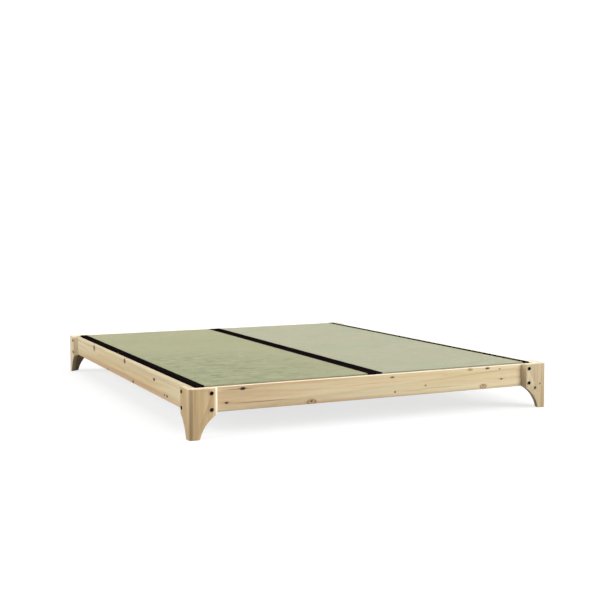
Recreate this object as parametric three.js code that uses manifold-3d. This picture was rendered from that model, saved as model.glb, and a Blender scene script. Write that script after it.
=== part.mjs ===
// A low platform bed of pine with two laid-in rush mats.
// Millimetres, +Z up, +Y along the length of the bed, origin on the floor at the middle of the bed.

import * as THREE from 'three';
import { mergeVertices } from 'three/addons/utils/BufferGeometryUtils.js';
import Module from 'manifold-3d';

const wasm = await Module();
wasm.setup();

// ---------------------------------------------------------------- driving sizes

// General fits
const jointGap = 0.25; // left between any two pieces that bear on each other
const edgeRound = 3; // rounding along the long edges of the timber
const arcSteps = 4; // chords in each small rounding

// Mats
const matWidth = 800;
const matLength = 2000;
const matThickness = 60;
const matSideClearance = 9.25; // mat to side rail
const matMiddleClearance = 1; // mat to mat
const matEndClearance = 17.75; // mat to front and rear rail
const matProud = 3; // mat surface above the top of the frame
const borderWidth = 32; // cloth border on each long edge
const borderThickness = 1.25;

// Slats and what carries them
const slatCount = 14;
const slatWidth = 90;
const slatThickness = 18;
const slatEndGap = 40; // first and last slat to the front and rear rail
const slatEndClearance = 1.75; // slat end to side rail
const ledgerWidth = 24;
const ledgerHeight = 23;
const beamWidth = 45;
const beamEndClearance = 1;
const centreFootCount = 3;
const centreFootSpacing = 450;
const centreFootWidth = 45;
const bracketLeaf = 36;
const bracketHeight = 18;
const bracketThickness = 2.5;

// Frame
const frameHeight = 200;
const railThickness = 20;
const legBoardThickness = 20;

// Legs: each is two boards at a right angle, measured from the outer corner
const legFaceReach = 108; // flat outer face of a board
const legFullReach = 124; // the bevelled end runs out to here at the rail
const archRadius = 150; // hollow curve under each board
const footWidth = 43; // board width at the floor, before its toe is rounded
const toeRound = 8;
const cornerRound = 16; // outer vertical corner of the leg
const archSteps = 10;
const cornerSteps = 5;

// Bolts: two through each leg board into the rail behind it
const boltSetback = 15; // from the end of the board's flat face
const upperBoltDrop = 19; // from the top of the frame
const boltSpacing = 65;
const boltHeadDiameter = 15;
const boltHeadHeight = 2.5;
const boltHeadRound = 1.25;
const boltShankDiameter = 7;
const boltLength = 36;
const boltTipLength = 3;
const boltTipDiameter = 4;
const boltHoleClearance = 0.5; // all round the shank
const boltHoleEndClearance = 2;
const socketAcrossFlats = 5;
const socketDepth = 1.75;
const roundSides = 16;

// ---------------------------------------------------------------- derived places

const innerWidth = 2 * matWidth + 2 * matSideClearance + matMiddleClearance;
const innerLength = matLength + 2 * matEndClearance;
const frameWidth = innerWidth + 2 * (railThickness + jointGap + legBoardThickness);
const frameLength = innerLength + 2 * (railThickness + jointGap + legBoardThickness);

const matTop = frameHeight + matProud;
const matBottom = matTop - matThickness;
const slatTop = matBottom - jointGap;
const slatBottom = slatTop - slatThickness;
const ledgerTop = slatBottom - jointGap;
const railBottom = ledgerTop - ledgerHeight;
const railHeight = frameHeight - railBottom;

const boltReach = legFaceReach - boltSetback;
const boltHeights = [frameHeight - upperBoltDrop, frameHeight - upperBoltDrop - boltSpacing];

// ---------------------------------------------------------------- materials

const finish = (color, roughness, metalness = 0) =>
  new THREE.MeshStandardMaterial({ color, roughness, metalness, flatShading: true });

const legPine = finish(0xd2b68a, 0.55);
const railPine = finish(0xd9bf94, 0.55);
const slatPine = finish(0xe0cba4, 0.65);
const rush = finish(0xaab088, 0.8);
const borderCloth = finish(0x17100f, 0.85);
const blackSteel = finish(0x14110f, 0.45, 0.6);
const zincSteel = finish(0xb4b6b8, 0.4, 0.9);

// ---------------------------------------------------------------- solids

// Turns closed geometry into a solid that can be cut.
function toSolid(geometry) {
  const bare = geometry.clone();
  bare.deleteAttribute('normal');
  bare.deleteAttribute('uv');
  const merged = mergeVertices(bare, 1e-4);
  return new wasm.Manifold(new wasm.Mesh({
    numProp: 3,
    vertProperties: Float32Array.from(merged.attributes.position.array),
    triVerts: Uint32Array.from(merged.index.array),
  }));
}

// Turns a cut solid back into geometry.
function toGeometry(solid) {
  const mesh = solid.getMesh();
  const geometry = new THREE.BufferGeometry();
  geometry.setAttribute('position', new THREE.BufferAttribute(Float32Array.from(mesh.vertProperties), 3));
  geometry.setIndex(new THREE.BufferAttribute(Uint32Array.from(mesh.triVerts), 1));
  geometry.computeVertexNormals();
  return geometry;
}

const prism = (shape, depth, curveSegments = 1) =>
  new THREE.ExtrudeGeometry(shape, { depth, curveSegments, bevelEnabled: false });

const shapeOf = (points) => new THREE.Shape(points.map(([x, y]) => new THREE.Vector2(x, y)));

// Points of an arc about a centre, from one angle to another, both ends included.
function arcPoints(centreX, centreY, radius, from, to, steps) {
  const points = [];
  for (let i = 0; i <= steps; i++) {
    const angle = from + ((to - from) * i) / steps;
    points.push([centreX + radius * Math.cos(angle), centreY + radius * Math.sin(angle)]);
  }
  return points;
}

// A rectangle with its corner at the origin and all four corners rounded.
function roundedRectangle(width, height, radius) {
  const quarter = Math.PI / 2;
  return shapeOf([
    ...arcPoints(width - radius, radius, radius, -quarter, 0, arcSteps),
    ...arcPoints(width - radius, height - radius, radius, 0, quarter, arcSteps),
    ...arcPoints(radius, height - radius, radius, quarter, 2 * quarter, arcSteps),
    ...arcPoints(radius, radius, radius, 2 * quarter, 3 * quarter, arcSteps),
  ]);
}

// A length of timber: section in Y and Z with its corner at the origin, length along X and centred.
function timber(length, thickness, height, radius = edgeRound) {
  return prism(roundedRectangle(thickness, height, radius), length)
    .translate(0, 0, -length / 2)
    .rotateX(Math.PI / 2)
    .rotateZ(Math.PI / 2);
}

// A cylinder that runs from the origin along +Y.
const rodAlongY = (diameter, length) =>
  new THREE.CylinderGeometry(diameter / 2, diameter / 2, length, roundSides).translate(0, length / 2, 0);

function named(name, geometry, material, x = 0, y = 0, z = 0) {
  const mesh = new THREE.Mesh(geometry, material);
  mesh.name = name;
  mesh.position.set(x, y, z);
  return mesh;
}

// ---------------------------------------------------------------- legs

// The point where two lengths from two points meet, on the right-hand side of the line between them.
function archCentre(startX, startZ, endX, endZ, radius) {
  const halfX = (endX - startX) / 2;
  const halfZ = (endZ - startZ) / 2;
  const half = Math.hypot(halfX, halfZ);
  const away = Math.sqrt(radius ** 2 - half ** 2);
  return [startX + halfX + (halfZ / half) * away, startZ + halfZ - (halfX / half) * away];
}

// Elevation of a leg board: X from the outer corner, Y up. The toe is rounded into the arch.
function boardElevation() {
  const [centreX, centreZ] = archCentre(footWidth, 0, legFullReach, railBottom, archRadius);
  const toeCentreZ = toeRound;
  const toeCentreX = centreX - Math.sqrt((archRadius + toeRound) ** 2 - (toeCentreZ - centreZ) ** 2);
  const toArch = Math.atan2(centreZ - toeCentreZ, centreX - toeCentreX);
  const archStart = toArch + Math.PI;
  const archEnd = Math.atan2(railBottom - centreZ, legFullReach - centreX);
  return shapeOf([
    [0, 0],
    ...arcPoints(toeCentreX, toeCentreZ, toeRound, -Math.PI / 2, toArch, arcSteps),
    ...arcPoints(centreX, centreZ, archRadius, archStart, archEnd, archSteps).slice(1),
    [legFullReach, frameHeight],
    [0, frameHeight],
  ]);
}

// Plan of the board that runs through to the corner: X along it, Y through it (negative side).
function throughBoardPlan() {
  return shapeOf([
    [legFaceReach, 0],
    ...arcPoints(cornerRound, -cornerRound, cornerRound, Math.PI / 2, Math.PI, cornerSteps),
    [0, -legBoardThickness],
    [legFullReach, -legBoardThickness],
  ]);
}

// Plan of the board that butts against it.
function buttBoardPlan() {
  const start = legBoardThickness + jointGap;
  return shapeOf([
    [start, 0],
    [legFaceReach, 0],
    [legFullReach, legBoardThickness],
    [start, legBoardThickness],
  ]);
}

// A leg board is what its elevation and its plan have in common, less its two bolt holes.
function legBoard(plan, nearFace) {
  const elevation = prism(boardElevation(), legBoardThickness)
    .rotateX(Math.PI / 2)
    .translate(0, nearFace + legBoardThickness, 0);
  let board = toSolid(elevation).intersect(toSolid(prism(plan, frameHeight)));
  for (const height of boltHeights) {
    const hole = rodAlongY(boltShankDiameter + 2 * boltHoleClearance, 3 * legBoardThickness)
      .translate(boltReach, -1.5 * legBoardThickness, height);
    board = board.subtract(toSolid(hole));
  }
  return toGeometry(board);
}

const buttBoard = legBoard(buttBoardPlan(), 0);
const throughBoard = legBoard(throughBoardPlan(), -legBoardThickness).rotateZ(Math.PI / 2);

// ---------------------------------------------------------------- bolts

// A low round-headed bolt along +Y, with the underside of its head at the origin.
function boltGeometry() {
  const head = boltHeadDiameter / 2;
  const shank = boltShankDiameter / 2;
  const profile = [
    [0, -boltHeadHeight],
    ...arcPoints(head - boltHeadRound, boltHeadRound - boltHeadHeight, boltHeadRound, -Math.PI / 2, 0, 2),
    [head, 0],
    [shank, 0],
    [shank, boltLength - boltTipLength],
    [boltTipDiameter / 2, boltLength],
    [0, boltLength],
  ];
  const body = new THREE.LatheGeometry(profile.map(([x, y]) => new THREE.Vector2(x, y)), roundSides);
  const socketRadius = socketAcrossFlats / 2 / Math.cos(Math.PI / 6);
  const socket = new THREE.CylinderGeometry(socketRadius, socketRadius, 2 * socketDepth, 6)
    .translate(0, -boltHeadHeight, 0);
  return toGeometry(toSolid(body).subtract(toSolid(socket)));
}

const bolt = boltGeometry();

// ---------------------------------------------------------------- corners

// One leg with its four bolts, seen in its own frame: the corner at the origin, the bed towards +X and +Y.
function leg(name) {
  const group = new THREE.Group();
  group.add(named(`${name}_through_board`, throughBoard, legPine));
  group.add(named(`${name}_butt_board`, buttBoard, legPine));
  boltHeights.forEach((height, i) => {
    const level = ['upper', 'lower'][i];
    group.add(named(`${name}_butt_bolt_${level}`, bolt, blackSteel, boltReach, -jointGap, height));
    const turned = named(`${name}_through_bolt_${level}`, bolt, blackSteel, -jointGap, boltReach, height);
    turned.rotation.z = -Math.PI / 2;
    group.add(turned);
  });
  return group;
}

const corners = [
  ['front_left_leg', -1, -1, 0],
  ['front_right_leg', 1, -1, 1],
  ['rear_right_leg', 1, 1, 2],
  ['rear_left_leg', -1, 1, 3],
];

// ---------------------------------------------------------------- rails

// A rail along X with its outer face towards -Y, drilled from outside for the bolts of its two legs.
function railGeometry(length, span) {
  let rail = toSolid(timber(length, railThickness, railHeight).translate(0, 0, railBottom));
  const depth = boltLength - legBoardThickness + boltHoleEndClearance;
  for (const side of [-1, 1]) {
    for (const height of boltHeights) {
      const hole = rodAlongY(boltShankDiameter + 2 * boltHoleClearance, 2 * depth)
        .translate(side * (span / 2 - boltReach), -depth, height);
      rail = rail.subtract(toSolid(hole));
    }
  }
  return toGeometry(rail);
}

function rails() {
  const group = new THREE.Group();
  const inset = legBoardThickness + jointGap;
  const crossRail = railGeometry(frameWidth - 2 * inset, frameWidth);
  const sideRail = railGeometry(innerLength - 2 * jointGap, frameLength);
  const places = [
    ['front_rail', crossRail, 0, -frameLength / 2 + inset, 0],
    ['rear_rail', crossRail, 0, frameLength / 2 - inset, 2],
    ['left_rail', sideRail, -frameWidth / 2 + inset, 0, 3],
    ['right_rail', sideRail, frameWidth / 2 - inset, 0, 1],
  ];
  for (const [name, geometry, x, y, quarterTurns] of places) {
    const rail = named(name, geometry, railPine, x, y);
    rail.rotation.z = (quarterTurns * Math.PI) / 2;
    group.add(rail);
  }
  return group;
}

// ---------------------------------------------------------------- slat base

function slatBase() {
  const group = new THREE.Group();
  const clearLength = innerLength - 2 * beamEndClearance;

  // Ledgers along the side rails
  const ledger = timber(clearLength, ledgerWidth, ledgerHeight, 2).rotateZ(Math.PI / 2);
  const ledgerX = innerWidth / 2 - jointGap;
  group.add(named('left_ledger', ledger, slatPine, -ledgerX + ledgerWidth, 0, railBottom));
  group.add(named('right_ledger', ledger, slatPine, ledgerX, 0, railBottom));

  // Beam down the middle, on three feet
  const beam = timber(clearLength, beamWidth, ledgerHeight, 2).rotateZ(Math.PI / 2);
  group.add(named('centre_beam', beam, slatPine, beamWidth / 2, 0, railBottom));
  const footHeight = railBottom - jointGap;
  const foot = prism(roundedRectangle(centreFootWidth, centreFootWidth, edgeRound), footHeight)
    .translate(-centreFootWidth / 2, -centreFootWidth / 2, 0);
  for (let i = 0; i < centreFootCount; i++) {
    const y = (i - (centreFootCount - 1) / 2) * centreFootSpacing;
    group.add(named(`centre_foot_${i + 1}`, foot, slatPine, 0, y, 0));
  }

  // Angle brackets between the beam and the front and rear rails
  const bracketShape = shapeOf([
    [0, 0],
    [bracketLeaf, 0],
    [bracketLeaf, bracketThickness],
    [bracketThickness, bracketThickness],
    [bracketThickness, bracketLeaf],
    [0, bracketLeaf],
  ]);
  const bracket = prism(bracketShape, bracketHeight);
  const bracketX = beamWidth / 2 + jointGap;
  const bracketY = innerLength / 2 - jointGap;
  const bracketZ = railBottom + (ledgerHeight - bracketHeight) / 2;
  const bracketPlaces = [
    ['beam_bracket_front_right', bracketX, -bracketY, 0],
    ['beam_bracket_rear_right', bracketX, bracketY, 3],
    ['beam_bracket_rear_left', -bracketX, bracketY, 2],
    ['beam_bracket_front_left', -bracketX, -bracketY, 1],
  ];
  for (const [name, x, y, quarterTurns] of bracketPlaces) {
    const piece = named(name, bracket, zincSteel, x, y, bracketZ);
    piece.rotation.z = (quarterTurns * Math.PI) / 2;
    group.add(piece);
  }

  // Slats across the bed
  const slat = timber(innerWidth - 2 * slatEndClearance, slatWidth, slatThickness, edgeRound);
  const pitch = (innerLength - 2 * slatEndGap - slatWidth) / (slatCount - 1);
  for (let i = 0; i < slatCount; i++) {
    const y = slatEndGap - innerLength / 2 + i * pitch;
    const number = String(i + 1).padStart(2, '0');
    group.add(named(`slat_${number}`, slat, slatPine, 0, y, slatBottom));
  }
  return group;
}

// ---------------------------------------------------------------- mats

// A section in X and Z carried along the length of a mat.
const alongBed = (section) =>
  prism(section, matLength).translate(0, 0, -matLength / 2).rotateX(Math.PI / 2);

// A mat and its two cloth borders, in its own frame: centred in X and Y, underside at zero.
function mat(name) {
  const group = new THREE.Group();

  // The body is stepped at both top edges, where the borders lie level with it
  const wrap = borderThickness + jointGap;
  const side = matWidth / 2 - wrap;
  const step = matWidth / 2 - borderWidth - jointGap;
  const shoulder = matThickness - wrap;
  const body = alongBed(shapeOf([
    [-side, 0],
    [side, 0],
    [side, shoulder],
    [step, shoulder],
    [step, matThickness],
    [-step, matThickness],
    [-step, shoulder],
    [-side, shoulder],
  ]));
  group.add(named(name, body, rush));

  // Each border lies over the top edge and down the side
  const border = alongBed(shapeOf([
    [0, 0],
    [borderThickness, 0],
    [borderThickness, matThickness - borderThickness],
    [borderWidth, matThickness - borderThickness],
    [borderWidth, matThickness],
    [0, matThickness],
  ]));
  const halfTurn = border.clone().rotateZ(Math.PI);
  group.add(named(`${name}_border_left`, border, borderCloth, -matWidth / 2));
  group.add(named(`${name}_border_right`, halfTurn, borderCloth, matWidth / 2));
  return group;
}

// ---------------------------------------------------------------- assembly

const bed = new THREE.Group();

for (const [name, sideX, sideY, quarterTurns] of corners) {
  const corner = leg(name);
  corner.position.set((sideX * frameWidth) / 2, (sideY * frameLength) / 2, 0);
  corner.rotation.z = (quarterTurns * Math.PI) / 2;
  bed.add(corner);
}

bed.add(rails());
bed.add(slatBase());

for (const [name, side] of [['left_mat', -1], ['right_mat', 1]]) {
  const laid = mat(name);
  laid.position.set((side * (matWidth + matMiddleClearance)) / 2, 0, matBottom);
  bed.add(laid);
}

export default bed;
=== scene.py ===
"""A low pine platform bed with two rush mats: finished timber, woven mats, cloth borders and bolts."""

import math

import bmesh
import bpy
from mathutils import Matrix, Vector, noise


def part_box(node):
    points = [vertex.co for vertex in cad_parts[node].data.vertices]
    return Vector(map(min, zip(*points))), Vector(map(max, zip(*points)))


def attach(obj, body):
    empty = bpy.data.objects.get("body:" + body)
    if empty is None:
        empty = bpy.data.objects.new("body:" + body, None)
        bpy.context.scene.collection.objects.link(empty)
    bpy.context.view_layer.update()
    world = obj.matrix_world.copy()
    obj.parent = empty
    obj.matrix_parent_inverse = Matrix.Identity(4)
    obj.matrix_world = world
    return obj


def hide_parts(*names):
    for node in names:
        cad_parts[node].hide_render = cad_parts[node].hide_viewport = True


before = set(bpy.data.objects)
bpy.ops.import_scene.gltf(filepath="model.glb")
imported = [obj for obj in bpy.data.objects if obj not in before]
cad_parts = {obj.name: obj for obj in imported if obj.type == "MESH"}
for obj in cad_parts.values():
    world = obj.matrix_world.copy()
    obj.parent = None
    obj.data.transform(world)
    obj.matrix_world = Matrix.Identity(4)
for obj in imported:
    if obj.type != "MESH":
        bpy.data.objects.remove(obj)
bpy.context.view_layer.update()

MM = 0.001

# ---------------------------------------------------------------- pieces and places taken from the frame

CORNERS = ["front_left", "front_right", "rear_right", "rear_left"]
MATS = ["left_mat", "right_mat"]


def nodes_with(*words):
    return sorted(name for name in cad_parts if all(word in name for word in words))


def middle(node):
    low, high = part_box(node)
    return (low + high) / 2


BEARERS = ("left_ledger", "right_ledger", "centre_beam")
SLATS = nodes_with("slat_")
BRACKETS = nodes_with("beam_bracket")
FEET = nodes_with("centre_foot")
BOLTS = nodes_with("_bolt_")
FRAME_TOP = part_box("front_rail")[1].z


# ---------------------------------------------------------------- nodes written as sums

class Wire:
    """An output of a node. Sums written with it add Math nodes."""

    def __init__(self, owner, socket):
        self.owner = owner
        self.socket = socket

    def _math(self, operation, *values):
        return self.owner.node("ShaderNodeMath", {"operation": operation}, dict(enumerate(values)))

    def __add__(self, other):
        return self._math("ADD", self, other)

    def __radd__(self, other):
        return self._math("ADD", other, self)

    def __sub__(self, other):
        return self._math("SUBTRACT", self, other)

    def __rsub__(self, other):
        return self._math("SUBTRACT", other, self)

    def __mul__(self, other):
        return self._math("MULTIPLY", self, other)

    def __rmul__(self, other):
        return self._math("MULTIPLY", other, self)

    def __truediv__(self, other):
        return self._math("DIVIDE", self, other)

    def __rtruediv__(self, other):
        return self._math("DIVIDE", other, self)

    def __pow__(self, other):
        return self._math("POWER", self, other)

    def __rpow__(self, other):
        return self._math("POWER", other, self)

    def __abs__(self):
        return self._math("ABSOLUTE", self)

    def __neg__(self):
        return self._math("MULTIPLY", self, -1.0)

    def fract(self):
        return self._math("FRACT", self)

    def sine(self):
        return self._math("SINE", self)

    def root(self):
        return self._math("SQRT", self)

    def most(self, other):
        return self._math("MAXIMUM", self, other)

    def step(self, low, high):
        """0 below low, 1 above high and smooth between. With low above high it falls instead."""
        rising = low < high
        sockets = {"Value": self, "From Min": min(low, high), "From Max": max(low, high),
                   "To Min": 0.0 if rising else 1.0, "To Max": 1.0 if rising else 0.0}
        return self.owner.node("ShaderNodeMapRange", {"interpolation_type": "SMOOTHSTEP"}, sockets)


class Nodes:
    """A node tree whose nodes are all added by one method."""

    def node(self, kind, settings=None, sockets=None, out=0):
        made = self.tree.nodes.new(kind)
        for key, value in (settings or {}).items():
            setattr(made, key, value)
        for key, value in (sockets or {}).items():
            if isinstance(value, Wire):
                self.tree.links.new(value.socket, made.inputs[key])
            else:
                made.inputs[key].default_value = value
        return Wire(self, made.outputs[out]) if len(made.outputs) else None

    def point(self, x, y, z):
        return self.node("ShaderNodeCombineXYZ", sockets={0: x, 1: y, 2: z})

    def vector(self, operation, *values, out=0):
        return self.node("ShaderNodeVectorMath", {"operation": operation}, dict(enumerate(values)), out)


# ---------------------------------------------------------------- materials

class Look(Nodes):
    """A material with one Principled shader."""

    def __init__(self, name):
        self.material = bpy.data.materials.new(name)
        self.material.use_nodes = True
        self.tree = self.material.node_tree
        self.tree.nodes.clear()
        self.spot = None

    def place(self):
        """The object coordinates as one vector and as three values, in metres."""
        self.spot = self.node("ShaderNodeTexCoord", out="Object")
        return [self.node("ShaderNodeSeparateXYZ", sockets={0: self.spot}, out=axis) for axis in range(3)]

    def attribute(self, name):
        return self.node("ShaderNodeAttribute", {"attribute_name": name}, out="Fac")

    def noise(self, x, y, z, detail=2.0, roughness=0.5):
        """Noise from 0 to 1 whose grains are one unit across in the three values."""
        sockets = {"Vector": self.point(x, y, z), "Scale": 1.0, "Detail": detail, "Roughness": roughness}
        return self.node("ShaderNodeTexNoise", sockets=sockets)

    def away(self, spot, centre, reach):
        """How far a spot is from a centre, where the reach along each axis counts as one."""
        scale = tuple(1 / r for r in reach)
        shift = tuple(-c / r for c, r in zip(centre, reach))
        return self.vector("LENGTH", self.vector("MULTIPLY_ADD", spot, scale, shift), out="Value")

    def mix(self, factor, first, second, blend="MIX"):
        settings = {"data_type": "RGBA", "blend_type": blend}
        return self.node("ShaderNodeMix", settings, {0: factor, 6: first, 7: second}, out=2)

    def bump(self, height, distance, strength=1.0):
        sockets = {"Height": height, "Distance": distance, "Strength": strength}
        return self.node("ShaderNodeBump", sockets=sockets)

    def finish(self, color, roughness, normal=None, **fixed):
        sockets = {"Base Color": color, "Roughness": roughness}
        sockets.update({key.replace("_", " "): value for key, value in fixed.items()})
        if normal is not None:
            sockets["Normal"] = normal
        shader = self.node("ShaderNodeBsdfPrincipled", sockets=sockets)
        self.node("ShaderNodeOutputMaterial", sockets={"Surface": shader})
        return self.material


def tone(red, green, blue):
    """A colour as it looks on a screen, 0 to 255, turned into the shader's linear values."""
    shares = [part / 255 for part in (red, green, blue)]
    return (*[((c + 0.055) / 1.055) ** 2.4 if c > 0.04 else c / 12.92 for c in shares], 1.0)


CREAM_PINE = tone(226, 211, 173)
PALE_PINE = tone(219, 198, 149)
WARM_PINE = tone(211, 176, 134)
LATE_WOOD = tone(190, 152, 100)
DEEP_GRAIN = tone(134, 94, 54)
KNOT_RIM = tone(112, 70, 36)
KNOT_HEART = tone(44, 24, 13)
KNOT_WOOD = tone(186, 142, 100)
# the near white of a painted highlight, on the rail tops and on one leg bevel
PAINTED_HIGHLIGHT_PINE = tone(251, 241, 221)

ALONG = {0: (0, 2, 1), 1: (1, 2, 0), 2: (2, 0, 1)}   # axis order: grain, across the face, through the board
THROUGH = 5.0         # reach of a mark that goes right through a board
FRAY = 5.0 * MM       # how far the outline of a mark wanders
FRAY_GRAIN = 170.0
PITH_BELOW = 0.13     # where the middle of the tree lies from a board, in metres
PITH_ASIDE = 0.021


def frayed_spot(look):
    """The place on the piece, shaken a little, so that marks have ragged outlines."""
    sockets = {"Vector": look.spot, "Scale": FRAY_GRAIN, "Detail": 1.0}
    shake = look.node("ShaderNodeTexNoise", sockets=sockets, out="Color")
    shake = look.vector("SUBTRACT", shake, (0.5, 0.5, 0.5))
    return look.vector("ADD", look.spot, look.vector("MULTIPLY", shake, (FRAY, FRAY, FRAY)))


class KnotMarks:
    """The masks of the knots on a board. The grain across the board bends round each of them."""

    def __init__(self, look, grain, across, knots):
        order = ALONG[grain]
        frayed = frayed_spot(look)
        self.across = across
        self.body = self.rim = self.heart = self.tails = 0.0
        for centre, half_length, half_height, heart, tail in knots:
            reach = [0.0, 0.0, 0.0]
            reach[order[0]], reach[order[1]], reach[order[2]] = half_length, half_height, 0.2
            off = look.away(frayed, centre, reach)
            swell = 2.718 ** (off * off * -0.22)
            self.across = self.across - (self.across - centre[order[1]]) * swell * 0.75
            self.body = (off.step(1.25, 0.9) * 0.6).most(self.body)
            circles = (off * 9.0).sine().step(0.3, 1.0) * off.step(2.1, 0.9) * 0.6
            self.rim = (off.step(1.35, 1.05) * off.step(0.62, 0.9) * 0.8).most(circles).most(self.rim)
            if heart > 0.5:
                self.heart = (off.step(1.2, 0.8) * heart).most(self.heart)
            elif heart > 0:
                # A sound knot has only a small dark core, above its middle
                above = (centre[0], centre[1], centre[2] + half_height * 0.35)
                core = look.away(frayed, above, [r * 0.4 for r in reach])
                self.heart = (core.step(1.1, 0.5) * heart * 2.0).most(self.heart)
            if tail > 0:
                reach[order[0]], reach[order[1]] = tail, 1.6 * MM
                self.tails = look.away(frayed, centre, reach).step(1.0, 0.1).most(self.tails)

    def paint(self, look, color, fibre):
        color = look.mix(self.tails * 0.9, color, KNOT_RIM)
        color = look.mix(self.body, color, KNOT_WOOD)
        color = look.mix(self.rim * 0.75, color, KNOT_RIM)
        return look.mix(self.heart, color, look.mix(fibre.step(0.5, 0.9) * 0.4, KNOT_HEART, KNOT_RIM))


def growth_rings(look, along, across, through, seed, strength, width, waver_reach):
    """The dark late wood of each year's ring, and the slow waver of the grain."""
    waver = look.noise(along * 0.7 + seed, across * 3.0, through * 3.0 + seed, detail=2.0) - 0.5
    wander = look.noise(along * 6.0 + seed, across * 30.0, through * 30.0, detail=2.0) - 0.5
    aside = PITH_ASIDE * math.sin(seed * 5.0)
    radius = ((across + PITH_BELOW) ** 2.0 + (through * 1.8 + aside) ** 2.0).root()
    ring = (radius + waver * waver_reach + wander * 0.002) / width + seed
    year = ring.fract()
    late = year.step(0.30, 0.93) * year.step(1.0, 0.95)
    patchy = look.noise(along * 1.7 + seed * 2.0, ring * 0.23, seed, detail=2.0).step(0.28, 0.72)
    return late * patchy * strength, waver


def pine(name, grain, seed, base=(CREAM_PINE, PALE_PINE, WARM_PINE), knots=(), stains=(), warmth=0.5,
         rings=0.5, ring_width=5.5 * MM, waver_reach=0.022, by_piece=False, painted_light_bands=()):
    """Pine with its grain along one axis, as a solid pattern, so that edges and ends match the faces.

    knots are (centre, half length, half height, heart, tail): heart goes from 0, a sound pale knot, to 1, a
    dark one, and tail is how far the dark line beside it runs. stains are (centre, reach, strength), warm
    where the strength is above zero and dark below it. The bands of painted light are (centre, reach,
    amount, colour) on the upper faces and bevels: a pale colour is a painted highlight where the light
    falls on them, a dark one is painted shade. With by_piece, the attribute "tone" cuts each piece from
    another part of the tree.
    """
    look = Look(name)
    look.place()
    spot = look.spot
    if by_piece:
        shift = look.attribute("tone")
        spot = look.vector("ADD", spot, look.point(shift * 3.7, shift * 0.31, shift * 0.53))
    axes = [look.node("ShaderNodeSeparateXYZ", sockets={0: spot}, out=axis) for axis in range(3)]
    along, across, through = [axes[axis] for axis in ALONG[grain]]
    if grain == 2:
        # The two boards of a leg stand at a right angle, so what is across one is through the other
        across, through = across + through * 0.8, through - across * 0.8
    marks = KnotMarks(look, grain, across, knots) if knots else None
    if marks:
        across = marks.across
    late, waver = growth_rings(look, along, across, through, seed, rings, ring_width, waver_reach)

    cream = look.noise(along * 0.8 + seed * 1.7, across * 9.0, through * 9.0 + 4.0, detail=2.0)
    drift = look.noise(along * 1.4 + seed * 3.0, across * 16.0, through * 16.0, detail=3.0, roughness=0.55)
    warm = drift.step(0.35, 0.72) * warmth
    dark = 0.0
    wavy = look.vector("ADD", spot, look.point(0.0, 0.0, waver * 0.018)) if stains else None
    for centre, reach, amount in stains:
        patch = look.away(wavy, centre, reach).step(1.0, 0.4) * abs(amount)
        if amount > 0:
            warm = warm + patch
        else:
            dark = patch.most(dark)
    streak = look.noise(along * 7.0 + seed, across * 210.0, through * 210.0, detail=3.0, roughness=0.6)
    shade = look.noise(along * 3.2 + seed, across * 75.0, through * 75.0, detail=3.0, roughness=0.6)
    fibre = look.noise(along * 45.0, across * 1700.0, through * 1700.0, detail=2.0)

    color = look.mix(cream.step(0.35, 0.68), base[1], base[0])
    color = look.mix(warm.step(0.0, 1.0), color, base[2])
    color = look.mix(late, color, LATE_WOOD)
    color = look.mix(shade.step(0.50, 0.80) * 0.5, color, LATE_WOOD)
    color = look.mix(streak.step(0.52, 0.86) * 0.38, color, LATE_WOOD)
    color = look.mix(fibre.step(0.35, 0.75) * 0.12, color, DEEP_GRAIN)
    # Painted highlight and painted shade on the upper faces and bevels, in the colour given for each band
    for centre, reach, amount, painted_tone in painted_light_bands:
        color = look.mix(look.away(look.spot, centre, reach).step(1.0, 0.6) * amount, color, painted_tone)
    if stains:
        color = look.mix(dark * (0.5 + streak * 0.5), color, DEEP_GRAIN)
    relief = streak * 0.45 + late * 0.6 + fibre * 0.25
    if marks:
        color = marks.paint(look, color, fibre)
        relief = relief - marks.heart * 0.8
    bump = look.bump(relief, 0.22 * MM, 0.6)
    return look.finish(color, 0.46 + streak * 0.14, bump, Specular_IOR_Level=0.45)


ROW_PITCH = 1.7 * MM                                    # from one stem to the next
WORN_END = ((-0.60, -0.62, 0.2), (0.62, 0.72, 1.0))     # centre and reach
PAINTED_END_SHADE = (0.9955, 0.9985)                          # span of |y| over which the turned-down ends of a mat are painted dark, painted shade in the gap beside the rail


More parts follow.
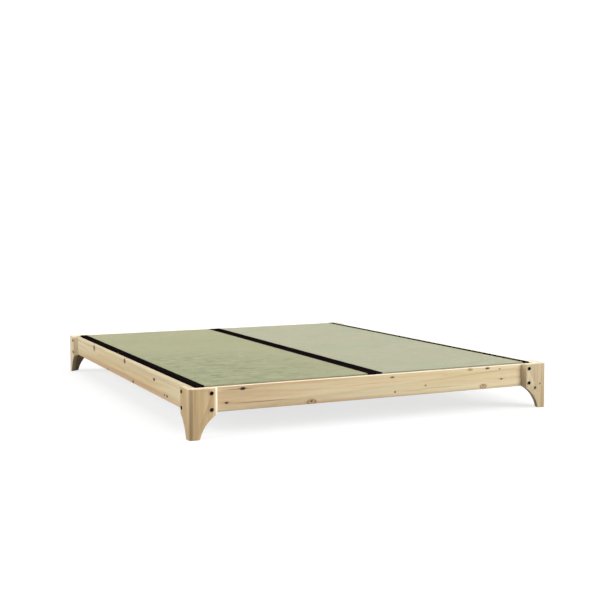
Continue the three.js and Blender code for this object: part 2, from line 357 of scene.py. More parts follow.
def rush(name, green, straw, seed, wear):
    """Woven rush: stems across the mat, pressed down between the warps that run along it. It is streakier
    near its worn end by as much as the wear."""
    look = Look(name)
    x, y, z = look.place()
    run = y + z
    stem = look.noise(x * 7.0, run * 620.0, seed, detail=2.0, roughness=0.6)
    bundle = look.noise(x * 10.0, run * 85.0, seed + 2.0, detail=3.0, roughness=0.65)
    mottle = look.noise(x * 26.0, run * 55.0, seed + 3.0, detail=2.0)
    patch = look.noise(x * 1.8, run * 3.5, seed + 5.0, detail=2.0)
    drag = look.noise(x * 6.0 + y, run * 48.0, seed + 7.0, detail=3.0, roughness=0.7)
    dash = look.noise(x * 15.0, run * 140.0, seed + 9.0, detail=2.0)
    worn = look.away(look.spot, *WORN_END).step(1.15, 0.3) * wear
    row = (run / ROW_PITCH).fract()
    hollow = row.step(0.0, 0.35) * row.step(1.0, 0.65)
    fleck = look.noise(x * 60.0, run * 430.0, 1.0, detail=1.0)
    dry = look.noise(x * 14.0, run * 300.0, 6.0, detail=2.0)
    color = look.mix(patch.step(0.3, 0.7), green, straw)
    color = look.mix(drag.step(0.48, 0.60) * (0.10 + worn * 0.55), color, tone(120, 128, 92))
    color = look.mix(drag.step(0.46, 0.34) * (0.06 + worn * 0.45), color, tone(192, 188, 150))
    color = look.mix(dash.step(0.53, 0.62) * (0.06 + worn * 0.75), color, tone(96, 105, 74))
    color = look.mix(bundle.step(0.45, 0.85) * 0.6, color, tone(124, 131, 86))
    color = look.mix(mottle.step(0.5, 0.66) * (0.08 + worn * 0.25), color, tone(126, 133, 94))
    # Painted shade on the turned-down ends of the mat, in the gap beside the rail
    color = look.mix(abs(y).step(*PAINTED_END_SHADE) * 0.6, color, tone(104, 96, 66))
    color = look.mix(stem.step(0.35, 0.75) * 0.35, color, tone(138, 145, 98))
    color = look.mix(dry.step(0.60, 0.78) * 0.5, color, tone(196, 188, 142))
    color = look.mix(fleck.step(0.66, 0.75) * 0.6, color, tone(92, 90, 55))
    # Painted shade in the grooves between the stems
    color = look.mix((1.0 - hollow) * 0.22, color, tone(86, 91, 56))
    relief = hollow * 0.7 + stem * 0.5 + bundle * 0.3
    return look.finish(color, 0.55 + stem * 0.2, look.bump(relief, 0.45 * MM, 0.7), Specular_IOR_Level=0.35)


BACKING_PITCH = 2.4 * MM
TWILL_PITCH = 1.1 * MM
PLY_PITCH = 0.9 * MM


def backing():
    """The coarse plain weave under a mat."""
    look = Look("mat_backing")
    x, y, z = look.place()
    over = (x * math.pi / BACKING_PITCH).sine() * (y * math.pi / BACKING_PITCH).sine()
    tuft = look.noise(x * 90.0, y * 90.0, z * 90.0, detail=3.0)
    color = look.mix(over.step(-0.3, 0.3), tone(120, 108, 84), tone(158, 145, 116))
    color = look.mix(tuft.step(0.5, 0.8) * 0.5, color, tone(96, 86, 66))
    return look.finish(color, 0.85, look.bump(over + tuft, 0.4 * MM, 0.7), Specular_IOR_Level=0.2)


def border_cloth():
    """Near-black cotton with a fine twill."""
    look = Look("border_cloth")
    x, y, z = look.place()
    twill = ((x - z + y * 0.6) / TWILL_PITCH).fract()
    rib = twill.step(0.0, 0.4) * twill.step(1.0, 0.6)
    lint = look.noise(x * 130.0, y * 45.0, z * 130.0, detail=3.0)
    fade = look.noise(x * 20.0, y * 2.5, z * 20.0, detail=2.0)
    color = look.mix(fade.step(0.35, 0.7), tone(13, 9, 11), tone(22, 16, 15))
    color = look.mix(lint.step(0.5, 0.8) * 0.3, color, tone(36, 30, 29))
    color = look.mix(rib * 0.3, color, tone(30, 25, 25))
    return look.finish(color, 0.9, look.bump(rib + lint * 0.4, 0.2 * MM, 0.6), Specular_IOR_Level=0.0)


def thread():
    look = Look("border_thread")
    x, y, z = look.place()
    ply = ((y + x * 0.5 + z * 0.5) / PLY_PITCH).fract()
    twist = ply.step(0.0, 0.5) * ply.step(1.0, 0.5)
    color = look.mix(twist, tone(30, 26, 25), tone(74, 68, 64))
    return look.finish(color, 0.6, look.bump(twist, 0.1 * MM, 0.6), Specular_IOR_Level=0.3)


def black_steel():
    look = Look("black_bolt")
    x, y, z = look.place()
    scuff = look.noise(x * 700.0, y * 700.0, z * 700.0, detail=3.0)
    color = look.mix(scuff.step(0.5, 0.8) * 0.4, tone(14, 9, 7), tone(38, 30, 26))
    return look.finish(color, 0.42 + scuff * 0.2, look.bump(scuff, 0.05 * MM, 0.5), Specular_IOR_Level=0.1)


def zinc(name):
    look = Look(name)
    x, y, z = look.place()
    spangle = look.noise(x * 260.0, y * 260.0, z * 260.0, detail=2.0)
    brushed = look.noise(x * 40.0, y * 900.0, z * 900.0, detail=2.0)
    color = look.mix(spangle, tone(150, 152, 155), tone(198, 200, 202))
    return look.finish(color, 0.28 + brushed * 0.22, look.bump(brushed, 0.04 * MM, 0.5), Metallic=0.9)


# ---------------------------------------------------------------- meshes

def link(piece):
    bpy.context.scene.collection.objects.link(piece)
    return piece


SHARP = 32     # degrees from which an edge counts as sharp


def smooth(mesh, angle=SHARP):
    mesh.polygons.foreach_set("use_smooth", [True] * len(mesh.polygons))
    mesh.set_sharp_from_angle(angle=math.radians(angle))
    return mesh


def baked(piece, name):
    """The piece with its modifiers as a plain mesh. The piece itself goes."""
    mesh = bpy.data.meshes.new_from_object(piece.evaluated_get(bpy.context.evaluated_depsgraph_get()))
    mesh.name = name
    bpy.data.objects.remove(piece)
    return mesh


def place_piece(name, mesh, body, material=None, replaces=()):
    """Puts a finished mesh in the scene, on its body and with its finish."""
    piece = link(bpy.data.objects.new(name, mesh))
    if material is not None:
        mesh.materials.clear()
        mesh.materials.append(material)
    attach(piece, body)
    if replaces:
        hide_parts(*replaces)
    return piece


def eased(node, width, segments=3):
    """A merged copy of a CAD node with its sharp edges rounded."""
    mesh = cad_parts[node].data.copy()
    work = bmesh.new()
    work.from_mesh(mesh)
    bmesh.ops.remove_doubles(work, verts=work.verts, dist=0.01 * MM)
    bmesh.ops.dissolve_limit(work, angle_limit=math.radians(0.6), verts=work.verts, edges=work.edges)
    for face in work.faces:
        face.smooth = True
    work.to_mesh(mesh)
    work.free()
    piece = link(bpy.data.objects.new("in_work", mesh))
    bevel = piece.modifiers.new("eased_edges", "BEVEL")
    bevel.width = width
    bevel.segments = segments
    bevel.limit_method = "ANGLE"
    bevel.angle_limit = math.radians(SHARP)
    bevel.harden_normals = True
    return baked(piece, f"{node}_eased")


# ---------------------------------------------------------------- patterns that repeat

class Tree(Nodes):
    """A Geometry Nodes tree with named inputs, whose result is realized and given its material."""

    KINDS = {int: "NodeSocketInt", float: "NodeSocketFloat"}

    def __init__(self, name, **inputs):
        self.tree = bpy.data.node_groups.new(name, "GeometryNodeTree")
        self.tree.interface.new_socket("Geometry", in_out="INPUT", socket_type="NodeSocketGeometry")
        self.tree.interface.new_socket("Geometry", in_out="OUTPUT", socket_type="NodeSocketGeometry")
        self.values = {}
        for label, value in inputs.items():
            kind = self.KINDS[type(value)]
            socket = self.tree.interface.new_socket(label, in_out="INPUT", socket_type=kind)
            self.values[socket.identifier] = value
        self.entry = self.tree.nodes.new("NodeGroupInput")

    def given(self, label):
        return Wire(self, self.entry.outputs[label])

    def end(self, geometry, material):
        real = self.node("GeometryNodeRealizeInstances", sockets={"Geometry": geometry})
        done = self.node("GeometryNodeSetMaterial", sockets={"Geometry": real, "Material": material})
        self.node("NodeGroupOutput", sockets={"Geometry": done})

    def grow(self, name, base):
        """The plain mesh that the tree makes from a base mesh."""
        piece = link(bpy.data.objects.new("in_work", base))
        modifier = piece.modifiers.new("pattern", "NODES")
        modifier.node_group = self.tree
        for identifier, value in self.values.items():
            modifier[identifier] = value
        return baked(piece, name)


def points_facing(spots):
    """A mesh of loose points, each with the direction that it faces."""
    mesh = bpy.data.meshes.new("points")
    mesh.from_pydata([spot for spot, _ in spots], [], [])
    facing = mesh.attributes.new("facing", "FLOAT_VECTOR", "POINT")
    for item, (_, direction) in zip(facing.data, spots):
        item.vector = direction
    return mesh


def on_points(tree, shape):
    """Copies of a shape on the base points, with Z turned the way each point faces."""
    facing = tree.node("GeometryNodeInputNamedAttribute", {"data_type": "FLOAT_VECTOR"}, {"Name": "facing"})
    turn = tree.node("FunctionNodeAlignRotationToVector", {"axis": "Z"}, {"Vector": facing})
    sockets = {"Points": tree.given("Geometry"), "Instance": shape, "Rotation": turn}
    return tree.node("GeometryNodeInstanceOnPoints", sockets=sockets)


def facing_mask(tree, up):
    """Picks the faces that look along +Z, or along -Z where up is -1."""
    normal = tree.node("GeometryNodeInputNormal")
    height = tree.node("ShaderNodeSeparateXYZ", sockets={0: normal}, out=2)
    return tree.node("FunctionNodeCompare", {"data_type": "FLOAT", "operation": "GREATER_THAN"},
                     {0: height * float(up), 1: 0.9})


def extruded(tree, mesh, selection, height, scale):
    """Pulls the picked faces out by a height and scales them about their middle."""
    sockets = {"Mesh": mesh, "Selection": selection, "Offset Scale": height, "Individual": False}
    pulled = tree.node("GeometryNodeExtrudeMesh", sockets=sockets)
    top = Wire(tree, pulled.socket.node.outputs["Top"])
    sockets = {"Geometry": pulled, "Selection": top, "Scale": scale}
    return tree.node("GeometryNodeScaleElements", sockets=sockets), top


def lifted(tree, mesh, height):
    move = tree.point(0.0, 0.0, height)
    return tree.node("GeometryNodeTransform", sockets={"Geometry": mesh, "Translation": move})


def cut_away(tree, mesh, cutter):
    """The mesh less the cutter."""
    made = tree.tree.nodes.new("GeometryNodeMeshBoolean")
    made.operation = "DIFFERENCE"
    tree.tree.links.new(mesh.socket, made.inputs["Mesh 1"])
    tree.tree.links.new(cutter.socket, made.inputs["Mesh 2"])
    return Wire(tree, made.outputs["Mesh"])


BOLT_HEAD = 2.5 * MM     # height of a head


def bolt_tree(material):
    """Low round heads with a hexagon socket, on a plain shank. Z points out of the wood."""
    tree = Tree("bolts", Radius=7.5 * MM, Head=BOLT_HEAD, Chamfer=0.7 * MM, Shank=3.5 * MM, Length=35 * MM,
                Socket=2.9 * MM, Depth=1.75 * MM)
    radius, head, chamfer = tree.given("Radius"), tree.given("Head"), tree.given("Chamfer")
    disc = tree.node("GeometryNodeMeshCylinder", {"fill_type": "NGON"},
                     {"Vertices": 40, "Radius": radius, "Depth": head - chamfer})
    disc = lifted(tree, disc, (head - chamfer) * 0.5)
    domed, _ = extruded(tree, disc, facing_mask(tree, 1), chamfer * 0.45, 1.0 - chamfer / radius * 0.3)
    domed, _ = extruded(tree, domed, facing_mask(tree, 1), chamfer * 0.55, 1.0 - chamfer / radius * 0.9)
    necked, under = extruded(tree, domed, facing_mask(tree, -1), 0.0, tree.given("Shank") / radius)
    bolt, _ = extruded(tree, necked, under, tree.given("Length"), 1.0)
    depth = tree.given("Depth")
    socket = tree.node("GeometryNodeMeshCylinder", {"fill_type": "NGON"},
                       {"Vertices": 6, "Radius": tree.given("Socket"), "Depth": depth * 2.0})
    tree.end(on_points(tree, cut_away(tree, bolt, lifted(tree, socket, head))), material)
    return tree


def screw_tree(material):
    """Flat screw heads with a cross slot, standing just proud of the surface."""
    tree = Tree("screws", Radius=3.6 * MM, Proud=0.3 * MM, Sunk=1.2 * MM, Slot=0.9 * MM, Reach=4.2 * MM)
    radius, proud, sunk = tree.given("Radius"), tree.given("Proud"), tree.given("Sunk")
    head = tree.node("GeometryNodeMeshCylinder", {"fill_type": "NGON"},
                     {"Vertices": 20, "Radius": radius, "Depth": sunk})
    head = lifted(tree, head, sunk * -0.5)
    head, _ = extruded(tree, head, facing_mask(tree, 1), proud, 0.86)
    slot, reach = tree.given("Slot"), tree.given("Reach")
    for size in ((slot, reach, 1.6 * MM), (reach, slot, 1.9 * MM)):
        bar = tree.node("GeometryNodeMeshCube", sockets={"Size": tree.point(*size)})
        head = cut_away(tree, head, bar)
    tree.end(on_points(tree, head), material)
    return tree


def slat_tree(material, count, first, pitch, size, height):
    """A row of slats with rounded edges, each with a tone of its own."""
    tree = Tree("slats", Count=count, First=first, Pitch=pitch, Length=size.x, Width=size.y, Thickness=size.z,
                Height=height, Edge=2.2 * MM, Seed=4)
    half = tree.given("Length") * 0.5
    line = tree.node("GeometryNodeCurvePrimitiveLine",
                     sockets={"Start": tree.point(-half, 0.0, 0.0), "End": tree.point(half, 0.0, 0.0)})
    section = tree.node("GeometryNodeCurvePrimitiveQuadrilateral",
                        sockets={"Width": tree.given("Width"), "Height": tree.given("Thickness")})
    rounded = tree.node("GeometryNodeFilletCurve", {"mode": "POLY"},
                        {"Curve": section, "Radius": tree.given("Edge"), "Count": 3})
    slat = tree.node("GeometryNodeCurveToMesh",
                     sockets={"Curve": line, "Profile Curve": rounded, "Fill Caps": True})
    start = tree.point(0.0, tree.given("First"), tree.given("Height"))
    offset = tree.point(0.0, tree.given("Pitch"), 0.0)
    row = tree.node("GeometryNodeMeshLine",
                    sockets={"Count": tree.given("Count"), "Start Location": start, "Offset": offset})
    placed = tree.node("GeometryNodeInstanceOnPoints", sockets={"Points": row, "Instance": slat})
    chance = tree.node("FunctionNodeRandomValue", {"data_type": "FLOAT"}, {"Seed": tree.given("Seed")}, out=1)
    toned = tree.node("GeometryNodeStoreNamedAttribute", {"data_type": "FLOAT", "domain": "INSTANCE"},
                      {"Geometry": placed, "Name": "tone", "Value": chance})
    tree.end(toned, material)
    return tree


def stitch_tree(material):
    """Running stitches along the base line."""
    tree = Tree("stitches", Spacing=12 * MM, Length=3.4 * MM, Thickness=0.45 * MM)
    path = tree.node("GeometryNodeMeshToCurve", sockets={"Mesh": tree.given("Geometry")})
    dots = tree.node("GeometryNodeCurveToPoints", {"mode": "LENGTH"},
                     {"Curve": path, "Length": tree.given("Spacing")})
    tangent = Wire(tree, dots.socket.node.outputs["Tangent"])
    turn = tree.node("FunctionNodeAlignRotationToVector", {"axis": "X"}, {"Vector": tangent})
    bead = tree.node("GeometryNodeMeshUVSphere", sockets={"Segments": 8, "Rings": 4, "Radius": 1.0})
    size = tree.point(tree.given("Length"), tree.given("Thickness"), tree.given("Thickness"))
    stitch = tree.node("GeometryNodeTransform", sockets={"Geometry": bead, "Scale": size})
    tree.end(tree.node("GeometryNodeInstanceOnPoints",
                       sockets={"Points": dots, "Instance": stitch, "Rotation": turn}), material)
    return tree


# ---------------------------------------------------------------- timber

WARM_LEG = (tone(208, 187, 146), tone(200, 175, 130), tone(184, 152, 106))
PALE_LEG = (tone(224, 209, 173), tone(216, 198, 158), tone(203, 176, 134))
WHITE_LEG = (tone(234, 222, 188), tone(226, 209, 172), tone(213, 190, 150))
LEG_TONES = {"front_left": WARM_LEG, "front_right": PALE_LEG, "rear_right": WARM_LEG,
             "rear_left": WHITE_LEG}

# Marks on the legs: corner, place in metres, half length, half height, heart, tail
LEG_KNOTS = {
    "front_right_leg_through_board": [((0.790, -1.05, 0.0915), 0.0064, 0.0060, 1.0, 0.0),
                                      ((0.818, -1.05, 0.109), 0.0040, 0.0032, 0.8, 0.0)],
    "rear_right_leg_butt_board": [((0.790, 1.05, 0.128), 0.0050, 0.0040, 0.8, 0.0)],
    "rear_left_leg_through_board": [((-0.800, 1.05, 0.085), 0.0045, 0.0035, 0.9, 0.0)],
}
LEG_STAINS = {
    "front_left": [((-0.842, -1.058, 0.1), (0.013, 0.015, THROUGH), -0.5),
                   ((-0.850, -0.992, 0.1), (0.030, 0.0035, THROUGH), -0.4)],
    "front_right": [((0.838, -1.058, 0.1), (0.0035, 0.012, THROUGH), -0.6),
                    ((0.826, -1.058, 0.1), (0.0030, 0.012, THROUGH), -0.4)],
}
# A painted highlight on the bevel at the inner end of the front left leg's butt board, which faces the light
# from the right
PAINTED_BEVEL_HIGHLIGHT = {
    "front_left_leg_butt_board": [((-0.734, -1.048, 0.1), (0.0080, 0.1, THROUGH), 0.85, PAINTED_HIGHLIGHT_PINE)],
}


# A band over the top faces of the frame, painted in a colour of its own: painted highlight where the colour
# is pale, painted shade where it is dark
def painted_top_band(amount, painted_tone):
    return ((0.0, 0.0, FRAME_TOP), (THROUGH, THROUGH, 1.0 * MM), amount, painted_tone)


def make_legs():
    for number, corner in enumerate(CORNERS):
        for turn, board in enumerate(("through_board", "butt_board")):
            node = f"{corner}_leg_{board}"
            # painted highlight on the top faces of each leg
            painted_light_bands = [painted_top_band(0.6, tone(224, 207, 172))] + PAINTED_BEVEL_HIGHLIGHT.get(node, [])
            wood = pine(f"{node}_pine", 2, 3.1 * number + 1.7 * turn + 0.7, LEG_TONES[corner],
                        LEG_KNOTS.get(node, ()), LEG_STAINS.get(corner, ()), warmth=0.7, rings=0.7,
                        ring_width=7.5 * MM, waver_reach=0.008, painted_light_bands=painted_light_bands)
            place_piece(f"{node}_timber", eased(node, 1.8 * MM), "frame", wood, [node])


def rail_knots(rail, places):
    """Knots on a rail, given by where they are along it, how high up, and their size and depth of colour."""
    centre = middle(rail)
    if rail in ("front_rail", "rear_rail"):
        return [((along, centre.y, up), *rest) for along, up, *rest in places]
    return [((centre.x, along, up), *rest) for along, up, *rest in places]


def make_rails():
    # Along the rail and up from the floor, half length, half height, heart, tail, in metres
    knots = {
        "front_rail": [(-0.619, 0.187, 0.011, 0.0055, 1.0, 0.10), (-0.689, 0.135, 0.0070, 0.0038, 1.0, 0.03),
                       (-0.318, 0.110, 0.019, 0.0095, 0.45, 0.0), (0.062, 0.186, 0.0085, 0.0030, 0.9, 0.02),
                       (0.075, 0.122, 0.0045, 0.0036, 0.8, 0.0), (0.226, 0.139, 0.004, 0.003, 0.6, 0.0),
                       (0.454, 0.193, 0.011, 0.005, 0.5, 0.0), (0.545, 0.193, 0.0095, 0.0042, 0.9, 0.03),
                       (0.611, 0.186, 0.004, 0.003, 0.7, 0.0), (0.620, 0.141, 0.0060, 0.0030, 0.9, 0.03),
                       (0.523, 0.114, 0.016, 0.009, 0.3, 0.0)],
        "left_rail": [(0.553, 0.183, 0.017, 0.014, 0.6, 0.0), (-0.049, 0.188, 0.014, 0.011, 0.85, 0.0),
                      (-0.527, 0.166, 0.013, 0.0065, 1.0, 0.02), (-0.193, 0.109, 0.011, 0.006, 0.9, 0.0),
                      (0.268, 0.106, 0.010, 0.005, 0.8, 0.0), (-0.712, 0.121, 0.010, 0.0048, 1.0, 0.0),
                      (-0.676, 0.121, 0.008, 0.0042, 0.9, 0.0)],
        "rear_rail": [(-0.42, 0.150, 0.013, 0.008, 0.8, 0.04), (0.10, 0.118, 0.007, 0.005, 0.9, 0.0),
                      (0.58, 0.172, 0.010, 0.006, 0.7, 0.05), (-0.66, 0.186, 0.005, 0.004, 0.8, 0.0)],
        "right_rail": [(-0.61, 0.140, 0.012, 0.007, 0.9, 0.05), (-0.12, 0.176, 0.007, 0.005, 0.8, 0.0),
                       (0.47, 0.125, 0.014, 0.009, 0.4, 0.0), (0.80, 0.183, 0.006, 0.004, 0.9, 0.02)],
    }
    stains = {
        "front_rail": [((-0.50, 0, 0.199), (0.50, THROUGH, 0.017), 0.7),
                       ((-0.1, 0, 0.101), (0.8, THROUGH, 0.018), 0.5),
                       ((-0.75, 0, 0.150), (0.50, THROUGH, 0.060), 0.45),
                       ((-0.55, 0, 0.1285), (0.19, THROUGH, 0.0028), -0.85),
                       ((-0.64, 0, 0.183), (0.10, THROUGH, 0.0025), -0.8),
                       ((0.30, 0, 0.128), (0.16, THROUGH, 0.003), -0.4)],
        "left_rail": [((0, 0.0, 0.108), (THROUGH, 1.35, 0.034), 0.9)],
        "rear_rail": [((0.2, 0, 0.150), (0.9, THROUGH, 0.016), 0.6)],
        "right_rail": [((0, -0.2, 0.190), (THROUGH, 1.1, 0.020), 0.6)],
    }
    # Painted light on the rail tops: painted highlight on the front, rear and right rails, painted shade on
    # the top of the left rail
    painted_tops = {"front_rail": (0.7, PAINTED_HIGHLIGHT_PINE), "rear_rail": (0.9, PAINTED_HIGHLIGHT_PINE), "right_rail": (0.95, PAINTED_HIGHLIGHT_PINE),
            "left_rail": (0.8, tone(184, 167, 132))}
    for number, rail in enumerate(("front_rail", "rear_rail", "left_rail", "right_rail")):
        grain = 0 if rail in ("front_rail", "rear_rail") else 1
        wood = pine(f"{rail}_pine", grain, 2.3 * number + 1.9, knots=rail_knots(rail, knots[rail]),
                    stains=stains[rail], warmth=0.3, rings=0.4, painted_light_bands=[painted_top_band(*painted_tops[rail])])
        place_piece(f"{rail}_timber", eased(rail, 1.0 * MM), "frame", wood, [rail])


def make_slat_base():
    plain = pine("bearer_pine", 1, 6.1, warmth=0.4)
    for node in BEARERS:
        place_piece(f"{node}_timber", eased(node, 1.5 * MM), "frame", plain, [node])
    upright = pine("centre_foot_pine", 2, 8.4, warmth=0.4)
    for node in FEET:
        place_piece(f"{node}_timber", eased(node, 2.0 * MM), "frame", upright, [node])

    across = pine("slat_pine", 0, 4.4, warmth=0.5, rings=0.7, ring_width=7.0 * MM, by_piece=True)
    low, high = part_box(SLATS[0])
    pitch = middle(SLATS[1]).y - middle(SLATS[0]).y
    tree = slat_tree(across, len(SLATS), middle(SLATS[0]).y, pitch, high - low, middle(SLATS[0]).z)
    mesh = smooth(tree.grow("slats", bpy.data.meshes.new("nothing")))
    place_piece("slats", mesh, "frame", replaces=SLATS)


def make_brackets():
    plate = zinc("zinc_bracket")
    for node in BRACKETS:
        place_piece(f"{node}_plate", eased(node, 0.5 * MM, 2), "frame", plate, [node])


PLATE = 2.5 * MM     # thickness of a bracket
SCREW_OFF = 4 * MM   # how far a bracket's screws sit off the middle, away from its bend


def make_screws():
    """Screws through the slat ends into the ledgers and the beam, and through the brackets."""
    spots = []
    for slat in SLATS:
        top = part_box(slat)[1].z
        for bearer in BEARERS:
            spots.append(((middle(bearer).x, middle(slat).y, top), (0, 0, 1)))
    for node in BRACKETS:
        low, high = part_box(node)
        centre = (low + high) / 2
        # Signs that point away from the beam and away from the rail
        side = 1.0 if centre.x > 0 else -1.0
        back = 1.0 if centre.y < 0 else -1.0
        rail_face = (low.y if back > 0 else high.y) + back * PLATE
        beam_face = (low.x if side > 0 else high.x) + side * PLATE
        spots.append(((centre.x + side * SCREW_OFF, rail_face, centre.z), (0, back, 0)))
        spots.append(((beam_face, centre.y + back * SCREW_OFF, centre.z), (side, 0, 0)))
    tree = screw_tree(zinc("zinc_screw"))
    mesh = smooth(tree.grow("screws", points_facing(spots)))
    place_piece("screws", mesh, "frame")


def make_bolts():
    spots = []
    for node in BOLTS:
        low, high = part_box(node)
        centre = (low + high) / 2
        axis = 0 if high.x - low.x > high.y - low.y else 1
        outward = 1.0 if centre[axis] > 0 else -1.0
        seat = centre.copy()
        seat[axis] = (high if outward > 0 else low)[axis] - outward * BOLT_HEAD
        facing = Vector((0.0, 0.0, 0.0))
        facing[axis] = outward
        spots.append((seat, facing))
    mesh = smooth(bolt_tree(black_steel()).grow("bolts", points_facing(spots)))
    place_piece("bolts", mesh, "frame", replaces=BOLTS)


# ---------------------------------------------------------------- mats

CLOTH = 0.9 * MM          # thickness of the border cloth
BORDER_STEP = 1.3 * MM    # how far the mat is cut back under a border
LAY = 1.4 * MM            # how high a doubled border lies over the cut back board
LIP = 0.6 * MM            # slope of the step beside a border
MAT_ROWS = 40             # strips along a mat
WARP_PITCH = 15 * MM      # from one warp to the next
WARP_RISE = 0.22 * MM     # height of the rib between two warps
FOLD = 5 * MM             # radius where the rush turns down at an end
END_OUT = 0.24 * FOLD     # how far a folded end stands out
END_FLAP = 24 * MM        # how far a border hangs down the end of a mat
CLOTH_FOLD = 3            # points of a border's section in the fold at its inner edge
HEM = 18 * MM             # how far a border goes on under the mat


def arc(centre, radius, start, end, steps):
    """Points of an arc in a plane, with the angles in degrees."""
    angles = [math.radians(start + (end - start) * i / steps) for i in range(steps + 1)]
    return [(centre[0] + radius * math.cos(a), centre[1] + radius * math.sin(a)) for a in angles]


def mat_mesh(mat):
    """A pressed board in woven rush. The rush has a low rib between each pair of warps and turns down over
    both ends. Under the borders the top is lower by the cloth."""
    low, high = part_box(mat)
    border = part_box(f"{mat}_border_left")
    border_width = border[1].x - border[0].x
    side_low, side_high = low.x + CLOTH, high.x - CLOTH
    bottom = low.z + CLOTH

    # Across the mat: place and height over the border step
    inner_low, inner_high = low.x + border_width, high.x - border_width
    across = [(side_low, 0.0), (side_low + 10 * MM, 0.0), (inner_low - LIP, 0.0)]
    ribs = round((inner_high - inner_low) / WARP_PITCH)
    per_rib = 6
    for i in range(ribs * per_rib + 1):
        share = i / (ribs * per_rib)
        height = WARP_RISE * abs(math.sin(math.pi * share * ribs)) ** 0.7
        across.append((inner_low + (inner_high - inner_low) * share, BORDER_STEP - WARP_RISE + height))
    across += [(inner_high + LIP, 0.0), (side_high - 10 * MM, 0.0), (side_high, 0.0)]

    # Along the mat: up one end, over the top and down the other
    top = high.z - BORDER_STEP
    run = [((low.y + BORDER_STEP, bottom), (-1, 0)), ((low.y + BORDER_STEP, top - 25 * MM), (-1, 0))]
    centre = (low.y + BORDER_STEP + FOLD, top - FOLD)
    for (y, z) in arc(centre, FOLD, 180, 90, 6):
        run.append(((y, z), ((y - centre[0]) / FOLD, (z - centre[1]) / FOLD)))
    reach = low.y + BORDER_STEP + FOLD
    end_count = len(run)
    run += [((reach * (1 - 2 * i / MAT_ROWS), top), (0, 1)) for i in range(1, MAT_ROWS)]
    run += [((-y, z), (-ny, nz)) for (y, z), (ny, nz) in reversed(run[:end_count])]

    vertices = []
    for (y, z), (ny, nz) in run:
        for x, height in across:
            swell = 0.25 * MM * noise.noise(Vector((x * 3.0, y * 2.5, z))) if nz == 1 and height else 0.0
            vertices.append((x, y + ny * height, z + nz * height + swell))
    wide = len(across)
    faces = [(r * wide + c, r * wide + c + 1, (r + 1) * wide + c + 1, (r + 1) * wide + c)
             for r in range(len(run) - 1) for c in range(wide - 1)]
    last = (len(run) - 1) * wide
    under = [tuple(range(wide - 1, -1, -1)) + tuple(range(last, last + wide))]
    sides = [tuple(r * wide for r in range(len(run))),
             tuple(r * wide + wide - 1 for r in range(len(run) - 1, -1, -1))]
    mesh = bpy.data.meshes.new(mat)
    mesh.from_pydata(vertices, [], faces + sides + under)
    work = bmesh.new()
    work.from_mesh(mesh)
    bmesh.ops.recalc_face_normals(work, faces=work.faces)
    work.to_mesh(mesh)
    work.free()
    for polygon in mesh.polygons:
        if polygon.normal.z < -0.9:
            polygon.material_index = 1
    return mesh


def border_mesh(mat, side):
    """A strip of cloth turned under along the inner edge, over the mat's top corner, down its side and a
    little way under it. At each end its top is folded down over the rush."""
    low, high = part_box(mat)
    strip_low, strip_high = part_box(f"{mat}_border_{side}")
    width = strip_high.x - strip_low.x
    edge, inward = (low.x + CLOTH, 1.0) if side == "left" else (high.x - CLOTH, -1.0)
    top = high.z - BORDER_STEP
    bottom = low.z + CLOTH
    turn = 2.2 * MM

    # From the fold at the inner edge to the hem under the mat, as distance in from the side, and height
    over = [(width - 4 * MM, top + 0.02 * MM), (width - 1.2 * MM, top + 0.05 * MM), (width, top + 0.6 * MM),
            (width - 0.7 * MM, top + LAY)]
    over += [(width - 2 * MM - (width - 2 * MM - turn) * i / 5, top + LAY) for i in range(6)]
    corner = [(p[0] + turn, p[1] + top + LAY - turn) for p in arc((0, 0), turn, 90, 180, 5)][1:]
    down = [(0.0, top - 14 * MM), (0.0, top - 30 * MM), (0.0, bottom + turn)]
    under = [(0.6 * MM, bottom + 0.4 * MM), (turn, bottom), (HEM, bottom)]
    section = over + corner + down + under
    flat_count = len(over)

    rows = 120
    length = high.y - low.y
    run = [low.y + length * i / rows for i in range(rows + 1)]
    vertices = []
    for y in run:
        for index, (inset, z) in enumerate(section):
            ripple = 0.18 * MM * noise.noise(Vector((inset * 30, y * 9.0, 3.0 if side == "left" else 7.0)))
            lift = ripple if CLOTH_FOLD < index < flat_count else 0.0
            vertices.append((edge + inward * inset, y, z + lift))
    wide = len(section)
    faces = [(r * wide + c, r * wide + c + 1, (r + 1) * wide + c + 1, (r + 1) * wide + c)
             for r in range(rows) for c in range(wide - 1)]

    # The ends: the flat top part goes on round the fold and down the end
    for end, start in ((-1.0, 0), (1.0, rows * wide)):
        before = [start + c for c in range(CLOTH_FOLD, flat_count)]
        bend = [(0.10 * FOLD, 0.05 * FOLD), (0.22 * FOLD, 0.3 * FOLD), (END_OUT, FOLD), (END_OUT, END_FLAP)]
        for out, drop in bend:
            after = []
            for c in range(CLOTH_FOLD, flat_count):
                inset, z = section[c]
                vertices.append((edge + inward * inset, end * (length / 2 - END_OUT + out), z - drop))
                after.append(len(vertices) - 1)
            for a, b, c, d in zip(before, before[1:], after[1:], after):
                faces.append((a, d, c, b) if end < 0 else (a, b, c, d))
            before = after
    mesh = bpy.data.meshes.new(f"{mat}_border_{side}")
    mesh.from_pydata(vertices, [], faces)
    work = bmesh.new()
    work.from_mesh(mesh)
    bmesh.ops.recalc_face_normals(work, faces=work.faces)
    if sum(face.normal.z * face.calc_area() for face in work.faces) < 0:
        bmesh.ops.reverse_faces(work, faces=work.faces)
    work.to_mesh(mesh)
    work.free()
    piece = link(bpy.data.objects.new("in_work", mesh))
    wall = piece.modifiers.new("cloth_thickness", "SOLIDIFY")
    wall.thickness = CLOTH * 0.7
    wall.offset = 1.0
    return smooth(baked(piece, f"{mat}_border_{side}"), 50)


STITCH_SUNK = 0.15 * MM
STITCH_HEIGHT = 9 * MM    # above the underside of the mat
STITCH_END = 20 * MM


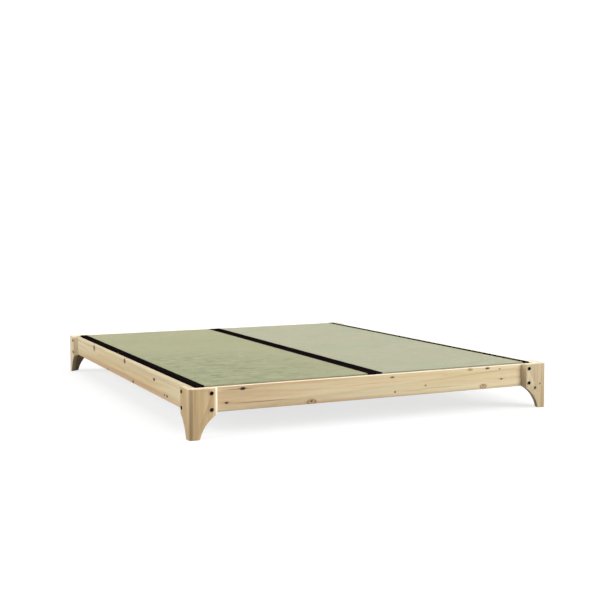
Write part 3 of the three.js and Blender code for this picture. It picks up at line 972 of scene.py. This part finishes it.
def make_mats():
    # One rush in two tones: painted paler and greyer on the right mat, a painted highlight and painted
    # reflection of the bright backdrop at its grazing angle; painted darker and greener on the left mat as
    # painted shade. The wear is real.
    weaves = {"left_mat": rush("left_rush_painted_shade", tone(158, 159, 123), tone(166, 163, 128), 3.0, 1.0),
              "right_mat": rush("right_rush_painted_light", tone(172, 173, 148), tone(179, 175, 151), 11.0, 0.0)}
    under = backing()
    cloth = border_cloth()
    sewing = stitch_tree(thread())
    for mat in MATS:
        mesh = smooth(mat_mesh(mat), 40)
        mesh.materials.append(weaves[mat])
        mesh.materials.append(under)
        board = place_piece(f"{mat}_woven", mesh, f"{mat}_body", replaces=[mat])
        low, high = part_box(mat)
        lines = []
        for side in ("left", "right"):
            node = f"{mat}_border_{side}"
            shape = border_mesh(mat, side)
            strip = place_piece(f"{node}_cloth", shape, f"{mat}_body", cloth, [node])
            x = low.x + STITCH_SUNK if side == "left" else high.x - STITCH_SUNK
            lines.append((x, low.z + STITCH_HEIGHT))
        base = bpy.data.meshes.new("stitch_lines")
        ends = [(x, y, z) for x, z in lines for y in (low.y + STITCH_END, high.y - STITCH_END)]
        base.from_pydata(ends, [(0, 1), (2, 3)], [])
        stitches = smooth(sewing.grow(f"{mat}_stitches", base), 80)
        place_piece(f"{mat}_stitches", stitches, f"{mat}_body")


make_legs()
make_rails()
make_slat_base()
make_brackets()
make_screws()
make_bolts()
make_mats()


# ---------------------------------------------------------------- stage

WHITE = (1.0, 1.0, 1.0, 1.0)
FLOOR_TONE = (0.30, 0.30, 0.303, 1.0)
FLOOR_HALF = 40.0      # half the width of the floor, in metres
FLOOR_GLOW = 0.745     # its own light near the bed
FAR_GLOW = 0.5         # what is added far away
FADE = (2.2, 5.0)      # metres from the middle of the bed over which the floor goes white
BACKDROP_GLOW = 1.1
ROOM_LIGHT = 0.12


def make_floor():
    """A pale floor. Close to the bed it is lit, and far away it fades into the white of the backdrop."""
    mesh = bpy.data.meshes.new("floor")
    corners = [(-1, -1), (1, -1), (1, 1), (-1, 1)]
    mesh.from_pydata([(x * FLOOR_HALF, y * FLOOR_HALF, 0) for x, y in corners], [], [(0, 1, 2, 3)])
    floor = link(bpy.data.objects.new("floor", mesh))
    look = Look("floor_paper")
    look.place()
    distance = look.away(look.spot, (0.0, 0.0, 0.0), (1.0, 1.0, 1.0))
    seen = look.node("ShaderNodeLightPath", out="Is Camera Ray")
    strength = (FLOOR_GLOW + distance.step(*FADE) * FAR_GLOW) * seen
    shader = look.node("ShaderNodeBsdfDiffuse", sockets={"Color": FLOOR_TONE})
    glow = look.node("ShaderNodeEmission", sockets={"Color": WHITE, "Strength": strength})
    both = look.node("ShaderNodeAddShader", sockets={0: shader, 1: glow})
    look.node("ShaderNodeOutputMaterial", sockets={"Surface": both})
    mesh.materials.append(look.material)


def make_backdrop():
    """A white dome that the eye and the reflections see, and that neither lights nor shades the bed."""
    bpy.ops.mesh.primitive_uv_sphere_add(segments=48, ring_count=24, radius=FLOOR_HALF - 1.0)
    dome = bpy.context.object
    dome.name = "backdrop"
    look = Look("backdrop_paper")
    glow = look.node("ShaderNodeEmission", sockets={"Color": WHITE, "Strength": BACKDROP_GLOW})
    look.node("ShaderNodeOutputMaterial", sockets={"Surface": glow})
    dome.data.materials.append(look.material)
    dome.visible_diffuse = False
    dome.visible_shadow = False


def make_light(name, direction, spread, strength):
    """A broad, distant light from a direction, with its spread in degrees."""
    light = bpy.data.lights.new(name, "SUN")
    light.angle = math.radians(spread)
    light.energy = strength
    lamp = link(bpy.data.objects.new(name, light))
    lamp.rotation_euler = (-Vector(direction)).to_track_quat("-Z", "Y").to_euler()


def make_camera(place, turned, lowered, rolled, lens):
    """A camera at a place in metres, with its angles in degrees from level and straight ahead."""
    camera = bpy.data.cameras.new("camera")
    camera.sensor_width = 36.0
    camera.lens = lens
    eye = link(bpy.data.objects.new("camera", camera))
    turn = Matrix.Rotation(math.radians(turned), 4, "Z")
    tilt = Matrix.Rotation(math.radians(90 - lowered), 4, "X")
    roll = Matrix.Rotation(math.radians(rolled), 4, "Z")
    eye.matrix_world = Matrix.Translation(place) @ turn @ tilt @ roll
    bpy.context.scene.camera = eye


def make_world():
    world = bpy.data.worlds.new("studio")
    world.use_nodes = True
    background = world.node_tree.nodes["Background"]
    background.inputs["Color"].default_value = WHITE
    background.inputs["Strength"].default_value = ROOM_LIGHT
    bpy.context.scene.world = world
    bpy.context.scene.view_settings.view_transform = "Standard"


make_floor()
make_backdrop()
make_light("key_light", (0.75, -0.60, 0.42), 34, 3.1)
make_light("left_light", (-0.84, 0.20, 0.40), 34, 2.3)
make_light("top_light", (0.05, -0.1, 1.0), 60, 1.3)
make_camera((-2.1208, -4.8462, 0.8575), turned=-24.715, lowered=4.47, rolled=-0.232, lens=62.45)
make_world()
